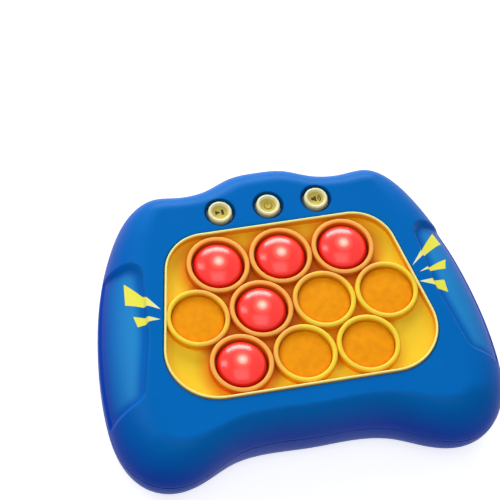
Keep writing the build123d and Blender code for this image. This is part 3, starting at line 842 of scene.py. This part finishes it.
def panel_paint(recipe):
    """Yellow of the panel with painted highlights and shade, and a painted lamp glow."""
    height = recipe.along("Z")
    crest = recipe.span(height, *CREST_BAND)
    floor = recipe.span(height, *FLOOR_BAND)
    bore = recipe.falloff(bubble_places(), RING_BORE + 0.2 * MM, RING_BORE + 0.7 * MM)
    crowd = recipe.falloff(bubble_places(), RING_FOOT, CROWD_REACH, "ADD")
    # Painted light: the lamp's red glow on the panel round each lit bubble.
    lamp_glow = recipe.falloff(bubble_places(RAISED), RING_FOOT, LAMP_REACH)
    # Painted shade: darker pits where several rings crowd together.
    pit_shade = recipe.span(crowd, 0.9, 1.7)
    tones = []
    # Painted highlight on crests, painted shade on slopes and pits, painted light on bore walls.
    for on_crest, on_slope, on_floor, in_pit, in_bore in (
            (srgb(255, 222, 62), srgb(246, 172, 8), colours().panel, srgb(226, 140, 0),
             srgb(255, 200, 24)),
            # Second row: the same tones painted with the lamp's red glow.
            (srgb(255, 184, 84), srgb(220, 112, 10), srgb(244, 150, 12), srgb(212, 100, 6),
             srgb(240, 124, 26))):
        low = recipe.mix(floor, on_slope, recipe.mix(pit_shade, on_floor, in_pit))
        tones.append(recipe.mix(crest, recipe.mix(bore, low, in_bore), on_crest))
    return recipe.mix(lamp_glow, *tones)


def lip_paint(recipe):
    """Pale crest of the panel's lip, a painted highlight, over a warm inner wall."""
    crest = recipe.span(recipe.along("Z"), *LIP_BAND)
    return recipe.mix(crest, srgb(250, 168, 12), colours().lip)


def soft_skin(name, paint, roughness, glow, level):
    """Silicone with a faint skin texture and a light of its own behind it."""
    return moulded(name, paint, roughness, grain=700.0, drift=0.06, tint=0.0, glow=glow,
                   Specular_IOR_Level=level, Subsurface_Weight=0.15, Subsurface_Scale=1.2 * MM)


def lit_paint(recipe):
    """Red with a painted lamp glow as a pale middle spot, and painted shade at the deep edge."""
    return ramp_across(recipe, (0.0, srgb(255, 208, 192)), (0.12, srgb(255, 172, 154)),
                       (0.25, srgb(254, 84, 70)), (0.42, colours().lit), (0.82, colours().lit),
                       (0.97, srgb(196, 18, 4)), (1.0, srgb(120, 6, 2)))


def unlit_paint(recipe):
    """Orange with soft blotches, a little deeper towards the edge."""
    blotch = recipe.span(recipe.noise(330.0, 3.0), 0.35, 0.65)
    middle = recipe.mix(blotch, srgb(240, 148, 0), colours().unlit)
    edge = ramp_across(recipe, (0.0, WHITE), (0.85, WHITE), (1.0, (0.8, 0.72, 0.6, 1)))
    return recipe.mix(1.0, middle, edge, blend="MULTIPLY")


def button_paint(recipe):
    """Cream rim round an olive dish."""
    return ramp_across(recipe, (0.0, srgb(206, 186, 88)), (0.62, srgb(200, 178, 78)),
                       (0.72, colours().button), (1.0, colours().button))


def ray_paint(recipe):
    """Yellow-green that pales to white at the tip of each ray."""
    return ramp_across(recipe, (0.0, srgb(252, 250, 225)), (0.3, srgb(240, 240, 150)),
                       (0.55, colours().ray), (1.0, colours().ray))


def plain_finish(name, colour, roughness, metallic=0.0, coat=0.0):
    """Small inner parts: one colour with a fine grain in its tone and gloss."""
    return moulded(name, srgb(*colour), roughness, grain=1500.0, Metallic=metallic,
                   Specular_IOR_Level=0.5, Coat_Weight=coat)


def jacket_paint(recipe):
    """Dark battery jacket with a copper-coloured band towards the raised end."""
    away = recipe.math("ABSOLUTE", recipe.along("X"))
    inner, outer = JACKET_BAND
    band = recipe.math("MULTIPLY", recipe.math("GREATER_THAN", away, inner),
                       recipe.math("LESS_THAN", away, outer))
    return recipe.mix(band, srgb(38, 40, 44), srgb(196, 120, 60))


class BUBBLEGAME_OT_upper_casing(bpy.types.Operator):
    """Smooth upper casing with soft grip recesses, panel opening and button dimples"""

    bl_idname = "bubblegame.upper_casing"
    bl_label = "Upper casing"

    def execute(self, context):
        """Lay the skin, sink the three dimples, and mark the grips for their painted highlight."""
        piece = as_object("upper_casing", casing_skin())
        cut(piece, [self.dimple_cutter(centre_of(name)) for name in BUTTONS])
        places = places_of(piece)
        # Painted highlight: its share rises from each grip's edge inwards.
        highlit = smooth_share(grip_inside(places[:, :2]), *GRIP_BAND)
        mark(piece, "grip", highlit * (places[:, 2] > GRIP_FOOT))
        plastic = moulded("casing plastic", casing_paint, roughness=0.38, bump=0.03, IOR=1.2)
        settle(piece, plastic, "casing", "top_shell")
        return {"FINISHED"}

    def dimple_cutter(self, place):
        """Turned cutter for a button hole in the floor of a round dimple."""
        flare = 0.45 * MM
        inner, outer = DIMPLE_RADIUS - flare, DIMPLE_RADIUS + flare
        low, high = BODY_HEIGHT - 2 * ROOF, BODY_HEIGHT + ROOF
        floor = BODY_HEIGHT - DIMPLE_DEPTH
        profile = [(0, low), (BUTTON_HOLE, low), (BUTTON_HOLE, floor), (inner, floor)]
        profile += corner((inner, floor + flare), flare, -90, 0)
        profile += reversed(corner((outer, BODY_HEIGHT - flare), flare, 90, 180))
        return turned(profile + [(outer, high), (0, high)], place, segments=64)


class BUBBLEGAME_OT_panel(bpy.types.Operator):
    """Yellow panel with the rounded ring round each bubble, and the lip round it with a painted
    highlight
    """

    bl_idname = "bubblegame.panel"
    bl_label = "Panel"

    def execute(self, context):
        """Fuse plate and rings, bore the ten holes, and set the lip round them."""
        angles = np.linspace(-math.pi, math.pi, 360, endpoint=False)
        plate = slab(panel_loop(-PLATE_PLAY, angles), PLATE_LOW, PLATE_LOW + PANEL_PLATE)
        piece = joined("panel_face", [plate] + [self.ring(place) for place in bubble_places()])
        low, high = PLATE_LOW - ROOF, BODY_HEIGHT + ROOF
        bore = [(0, low), (RING_BORE, low), (RING_BORE, high), (0, high)]
        cut(piece, [turned(bore, place) for place in bubble_places()], overlapping=True)
        yellow = moulded("panel plastic", panel_paint, roughness=0.4)
        settle(piece, yellow, "casing", "bubble_panel")
        # Painted highlight: the lip's pale crest.
        pale = moulded("lip plastic", lip_paint)
        settle(as_object("panel_lip", self.lip(angles)), pale, "casing")
        return {"FINISHED"}

    def lip(self, angles):
        """Raised lip with a rounded top, just inside the casing's opening."""
        half = sizes().lip_width / 2
        low = PLATE_LOW + PANEL_PLATE / 2
        crest = corner((-half, LIP_TOP - half), half, 0, 180, steps=6)
        return skin([at_height(panel_loop(margin, angles), height)
                     for margin, height in [(0, low), *crest, (-2 * half, low)]])

    def ring(self, place):
        """Ring with a rounded top that stands on the panel plate."""
        soft = sizes().ring_round
        inner = soft * 0.8
        low = PLATE_LOW + PANEL_PLATE / 2
        profile = [(RING_BORE - PANEL_FIT, low), (RING_RADIUS, low)]
        profile += corner((RING_CREST - soft, BODY_HEIGHT - soft), soft, 0, 90, steps=6)
        profile += corner((RING_BORE + inner, BODY_HEIGHT - inner), inner, 90, 180, steps=6)
        return turned(profile + [(RING_BORE - PANEL_FIT, BODY_HEIGHT - 2 * soft)], place)


class BUBBLEGAME_OT_bubbles(bpy.types.Operator):
    """Ten soft bubbles: raised and lit, or pressed in and unlit"""

    bl_idname = "bubblegame.bubbles"
    bl_label = "Bubbles"

    def execute(self, context):
        """Turn each bubble and give it its silicone."""
        lit = (DOME_RADIUS, self.dome(), "red_silicone",
               soft_skin("lit silicone", lit_paint, roughness=0.24, glow=0.33, level=0.6))
        unlit = (DISC_RADIUS, self.disc(), "orange_silicone",
                 soft_skin("unlit silicone", unlit_paint, roughness=0.5, glow=0.0, level=0.1))
        for name in BUBBLES:
            node = f"bubble_{name}"
            place = centre_of(node)
            radius, outside, slot, silicone = lit if name in RAISED else unlit
            cap = self.cap(place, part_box(node)[0].z, radius, outside)
            piece = as_object(f"pop_{name}", cap)
            mark_across(piece, place, radius)
            settle(piece, silicone, node, node)
            if name in RAISED:
                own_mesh(piece)
        return {"FINISHED"}

    def dome(self, steps=26):
        """Profile of a soft dome whose side turns straight down at its foot."""
        turns = [math.pi / 2 * step / steps for step in range(steps + 1)]
        return [(DOME_RADIUS * math.sin(turn), DOME_FOOT + (DOME_TOP - DOME_FOOT) * math.cos(turn))
                for turn in turns]

    def disc(self, steps=14):
        """Profile of a pressed bubble, a low round crown with a rounded edge."""
        soft = 0.5 * MM
        radius, height = DISC_RADIUS - soft, DISC_TOP - DISC_FOOT
        sphere = (radius**2 + height**2) / (2 * height)
        turns = [math.asin(radius / sphere) * step / steps for step in range(steps + 1)]
        top = [(sphere * math.sin(turn), DISC_TOP - sphere * (1 - math.cos(turn)))
               for turn in turns]
        return top + corner((radius, DISC_FOOT - soft), soft, 0, 80)[::-1]

    def cap(self, place, low, radius, outside):
        """Hollow cap under its outer profile, with a flange at its foot."""
        flange = 1.5 * MM
        reach = radius + 1.35 * MM
        inner = radius - CAP_WALL
        inside = [(r * inner / radius, height - CAP_WALL) for r, height in reversed(outside)]
        foot = [(radius, low + flange), (reach, low + flange), (reach, low), (inner, low)]
        return turned(outside + foot + inside, place)


class BUBBLEGAME_OT_buttons(bpy.types.Operator):
    """Three cream control buttons with a dished top and a plain printed mark on each"""

    bl_idname = "bubblegame.buttons"
    bl_label = "Control buttons"

    def execute(self, context):
        """Turn each button, with its hidden flange and pin, and print its mark."""
        cream = moulded("button plastic", button_paint, roughness=0.3)
        dark = moulded("dark mark", srgb(72, 54, 14), roughness=0.5)
        faint = moulded("faint mark", srgb(158, 134, 44), roughness=0.5)
        for name in BUTTONS:
            low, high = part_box(name)
            place = centre_of(name)
            piece = as_object(f"{name}_cap", self.button(place, low.z, high.z))
            mark_across(piece, place, BUTTON_RADIUS)
            settle(piece, cream, name, name)
            dish = high.z - BUTTON_DISH
            shapes = [slab(np.array(outline) * MM + place, dish - INK_SUNK, dish + INK_PROUD)
                      for outline in MARKS[name]]
            settle(joined(f"{name}_mark", shapes), faint if name == "power_button" else dark, name)
        return {"FINISHED"}

    def button(self, place, low, high):
        """Round button with a rounded rim about a shallow dish."""
        rim = BUTTON_RIM
        flange_top = BODY_HEIGHT - ROOF - 0.2 * MM
        flange_low = flange_top - 1.1 * MM
        pin = 1.7 * MM
        reach = 5.9 * MM
        profile = [(0, high - BUTTON_DISH), (BUTTON_RADIUS - 2.3 * rim, high - BUTTON_DISH)]
        profile += reversed(corner((BUTTON_RADIUS - rim, high - rim), rim, 0, 180, steps=10))
        profile += [(BUTTON_RADIUS, flange_top), (reach, flange_top), (reach, flange_low),
                    (pin, flange_low), (pin, low), (0, low)]
        return turned(profile, place, segments=72)


class BUBBLEGAME_OT_rays(bpy.types.Operator):
    """Printed rays on the casing beside the panel"""

    bl_idname = "bubblegame.rays"
    bl_label = "Rays"

    def execute(self, context):
        """Lay each wedge on the casing and print them all in one colour."""
        casing = bpy.data.objects["upper_casing"]
        surface = BVHTree.FromObject(casing, bpy.context.evaluated_depsgraph_get())
        rays = np.array(RAYS) * MM
        piece = joined("casing_rays", [self.wedge(surface, ray) for ray in rays])
        away = np.linalg.norm(places_of(piece)[:, None, :2] - rays[:, 0], axis=2)
        length = np.linalg.norm(rays[:, 1] - rays[:, 0], axis=1)
        mark(piece, "across", away.min(axis=1) / length[away.argmin(axis=1)])
        settle(piece, moulded("ray print", ray_paint, roughness=0.45), "casing")
        return {"FINISHED"}

    def wedge(self, surface, corners):
        """Thin wedge from its tip to its wide end, laid down on the casing."""
        bm = bmesh.new()
        bm.faces.new([bm.verts.new((*corner, 0)) for corner in corners])
        bmesh.ops.subdivide_edges(bm, edges=bm.edges, cuts=RAY_CUTS, use_grid_fill=True)
        for vert in bm.verts:
            above = Vector((vert.co.x, vert.co.y, 2 * BODY_HEIGHT))
            hit, normal = surface.ray_cast(above, Vector((0, 0, -1)))[:2]
            if hit is None:
                raise RuntimeError("a ray reaches past the casing")
            vert.co = hit + normal * RAY_LIFT
        bmesh.ops.recalc_face_normals(bm, faces=bm.faces)
        bmesh.ops.solidify(bm, geom=bm.faces, thickness=INK_PROUD)
        return bm


class BUBBLEGAME_OT_screws(bpy.types.Operator):
    """Cross-head screws of the battery door and of the two shells"""

    bl_idname = "bubblegame.screws"
    bl_label = "Screws"

    def execute(self, context):
        """Turn the screws of each set and sink the cross in their heads."""
        zinc = plain_finish("zinc", (180, 182, 186), 0.3, metallic=1.0)
        for node, body, places in (("battery_door_screws", "battery_cover", DOOR_SCREWS),
                                   ("case_screws", "casing", CASE_SCREWS)):
            low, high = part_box(node)
            sites = np.array(places) * MM
            piece = joined(node.replace("screws", "fasteners"),
                           [self.screw(site, low.z, high.z) for site in sites])
            cut(piece, [bar for site in sites for bar in self.cross(site, low.z)],
                overlapping=True)
            settle(piece, zinc, body, node)
        return {"FINISHED"}

    def screw(self, site, low, high):
        """Screw with a slightly domed head below and its shank above."""
        soft = 0.45 * MM
        profile = [(0, low), (SCREW_HEAD_RADIUS - 3 * soft, low + 0.04 * MM)]
        profile += corner((SCREW_HEAD_RADIUS - soft, low + 0.12 * MM + soft), soft, -80, 0)
        profile += [(SCREW_HEAD_RADIUS, low + SCREW_HEAD), (SCREW_RADIUS, low + SCREW_HEAD),
                    (SCREW_RADIUS, high - SCREW_RADIUS), (0.2 * MM, high), (0, high)]
        return turned(profile, site, segments=40)

    def cross(self, site, low):
        """Two crossed bars that taper into the head."""
        bars = []
        for wide, tall in ((2.8, 0.62), (0.62, 2.8)):
            bar = bmesh.new()
            bmesh.ops.create_cube(bar, size=1.0)
            bmesh.ops.scale(bar, verts=bar.verts, vec=(wide * MM, tall * MM, 2 * MM))
            deep = [vert for vert in bar.verts if vert.co.z > 0]
            bmesh.ops.scale(bar, verts=deep, vec=(0.6, 0.6, 1))
            bmesh.ops.translate(bar, verts=bar.verts, vec=(*site, low))
            bars.append(bar)
        return bars


class BUBBLEGAME_OT_inner_parts(bpy.types.Operator):
    """Finishes of the lower shell and of the parts inside"""

    bl_idname = "bubblegame.inner_parts"
    bl_label = "Inner parts"

    def execute(self, context):
        """Give each node of the frame that still shows its own finish."""
        finishes = {slot: plain_finish(*finish) for slot, *finish in INNER_FINISHES}
        finishes["blue_casing"] = bpy.data.materials["casing plastic"]
        finishes["zinc_screw"] = bpy.data.materials["zinc"]
        finishes["cell_jacket"] = moulded("cell jacket", jacket_paint, Metallic=0.4)
        slots = {part["node"]: part["material_slot"] for part in frame["record"]["subparts"]}
        for name, node in frame["nodes"].items():
            if not node.hide_render:
                node.data.materials.clear()
                node.data.materials.append(finishes[slots[name]])
        return {"FINISHED"}


class BUBBLEGAME_OT_stage(bpy.types.Operator):
    """Pale floor, soft lamps and the camera at the photograph's angle"""

    bl_idname = "bubblegame.stage"
    bl_label = "Stage"

    def execute(self, context):
        """Set the floor, the lamps, the world and the camera."""
        self.floor()
        for lamp in LAMPS:
            self.lamp(*lamp)
        self.world()
        self.camera()
        bpy.context.scene.view_settings.view_transform = "Standard"
        return {"FINISHED"}

    def seen(self, recipe):
        """1 on rays that show the stage itself: from the camera, or mirrored or seen through."""
        path = recipe.add("ShaderNodeLightPath").outputs
        shown = recipe.math("MAXIMUM", path["Is Camera Ray"], path["Is Glossy Ray"])
        return recipe.math("MAXIMUM", shown, path["Is Transmission Ray"])

    def floor(self):
        """Floor that shows white with the object's shadow, and is clear from below."""
        bm = bmesh.new()
        bmesh.ops.create_grid(bm, x_segments=1, y_segments=1, size=FLOOR_HALF)
        bmesh.ops.translate(bm, verts=bm.verts, vec=(0, 0, -FLOOR_DROP))
        piece = as_object("floor", bm)
        material, recipe, shader = new_material("floor paper")
        seen = self.seen(recipe)
        recipe.feed(shader, {
            "Base Color": recipe.mix(seen, srgb(165, 165, 168), srgb(212, 212, 215)),
            "Roughness": 0.8, "Specular IOR Level": 0.0, "Emission Color": WHITE,
            "Emission Strength": recipe.span(seen, 0.0, 1.0, FLOOR_GLOW, FLOOR_SHOWN)})
        behind = recipe.add("ShaderNodeNewGeometry").outputs["Backfacing"]
        clear = recipe.add("ShaderNodeBsdfTransparent").outputs[0]
        both = recipe.add("ShaderNodeMixShader", {0: behind, 1: shader.outputs[0], 2: clear})
        recipe.feed(material.node_tree.nodes["Material Output"], {0: both.outputs[0]})
        piece.data.materials.append(material)

    def lamp(self, name, towards, distance, wide, tall, power):
        """Soft box at a distance in one direction, aimed at the object."""
        light = bpy.data.lights.new(name, "AREA")
        light.shape = "RECTANGLE"
        light.size, light.size_y = wide, tall
        light.energy = power
        lamp = placed(name, light)
        lamp.location = Vector(towards).normalized() * distance
        lamp.rotation_mode = "QUATERNION"
        lamp.rotation_quaternion = (-lamp.location).to_track_quat("-Z", "Y")

    def world(self):
        """Even studio light, which shows as plain white."""
        world = bpy.data.worlds.new("studio")
        world.use_nodes = True
        bpy.context.scene.world = world
        recipe = Recipe(world.node_tree)
        world.node_tree.nodes.clear()
        soft, white = (recipe.add("ShaderNodeBackground", {"Color": colour, "Strength": strength})
                       for colour, strength in (((0.95, 0.97, 1.0, 1), WORLD_GLOW), (WHITE, 1.0)))
        both = recipe.add("ShaderNodeMixShader",
                          {0: self.seen(recipe), 1: soft.outputs[0], 2: white.outputs[0]})
        recipe.add("ShaderNodeOutputWorld", {0: both.outputs[0]})

    def camera(self):
        """Camera turned and rolled as the photograph's was."""
        flat = math.cos(VIEW_ELEVATION)
        back = Vector((math.sin(VIEW_AZIMUTH) * flat, -math.cos(VIEW_AZIMUTH) * flat,
                       math.sin(VIEW_ELEVATION)))
        right = Vector((math.cos(VIEW_AZIMUTH), math.sin(VIEW_AZIMUTH), 0))
        up = back.cross(right)
        across = right * math.cos(VIEW_ROLL) + up * math.sin(VIEW_ROLL)
        upward = up * math.cos(VIEW_ROLL) - right * math.sin(VIEW_ROLL)
        data = bpy.data.cameras.new("camera")
        data.lens = VIEW_LENS
        data.clip_end = 20
        camera = placed("camera", data)
        turn = Matrix((across, upward, back)).transposed().to_4x4()
        camera.matrix_world = Matrix.Translation(VIEW_TARGET + back * VIEW_DISTANCE) @ turn
        bpy.context.scene.camera = camera


OPERATORS = (BUBBLEGAME_OT_upper_casing, BUBBLEGAME_OT_panel, BUBBLEGAME_OT_bubbles,
             BUBBLEGAME_OT_buttons, BUBBLEGAME_OT_rays, BUBBLEGAME_OT_screws,
             BUBBLEGAME_OT_inner_parts, BUBBLEGAME_OT_stage)


class BUBBLEGAME_PT_kit(bpy.types.Panel):
    """Sidebar panel that lists the sizes, the colours and the pieces."""

    bl_idname = "BUBBLEGAME_PT_kit"
    bl_label = "Bubble Game"
    bl_space_type = "VIEW_3D"
    bl_region_type = "UI"
    bl_category = "Bubble Game"

    def draw(self, context):
        """Show every property and one button for each operator."""
        for group in (context.scene.bubble_game_sizes, context.scene.bubble_game_colours):
            for name in group.__annotations__:
                self.layout.prop(group, name)
        for operator in OPERATORS:
            self.layout.operator(operator.bl_idname)


CLASSES = (BubbleGameSizes, BubbleGameColours) + OPERATORS + (BUBBLEGAME_PT_kit,)


def register():
    """Register the classes and hang the property groups on the scene."""
    for kind in CLASSES:
        bpy.utils.register_class(kind)
    bpy.types.Scene.bubble_game_sizes = PointerProperty(type=BubbleGameSizes)
    bpy.types.Scene.bubble_game_colours = PointerProperty(type=BubbleGameColours)


def unregister():
    """Undo register."""
    del bpy.types.Scene.bubble_game_colours
    del bpy.types.Scene.bubble_game_sizes
    for kind in reversed(CLASSES):
        bpy.utils.unregister_class(kind)


def main():
    """Make the whole game in order."""
    register()
    for operator in OPERATORS:
        group, name = operator.bl_idname.split(".")
        getattr(getattr(bpy.ops, group), name)()


if __name__ == "__main__":
    main()
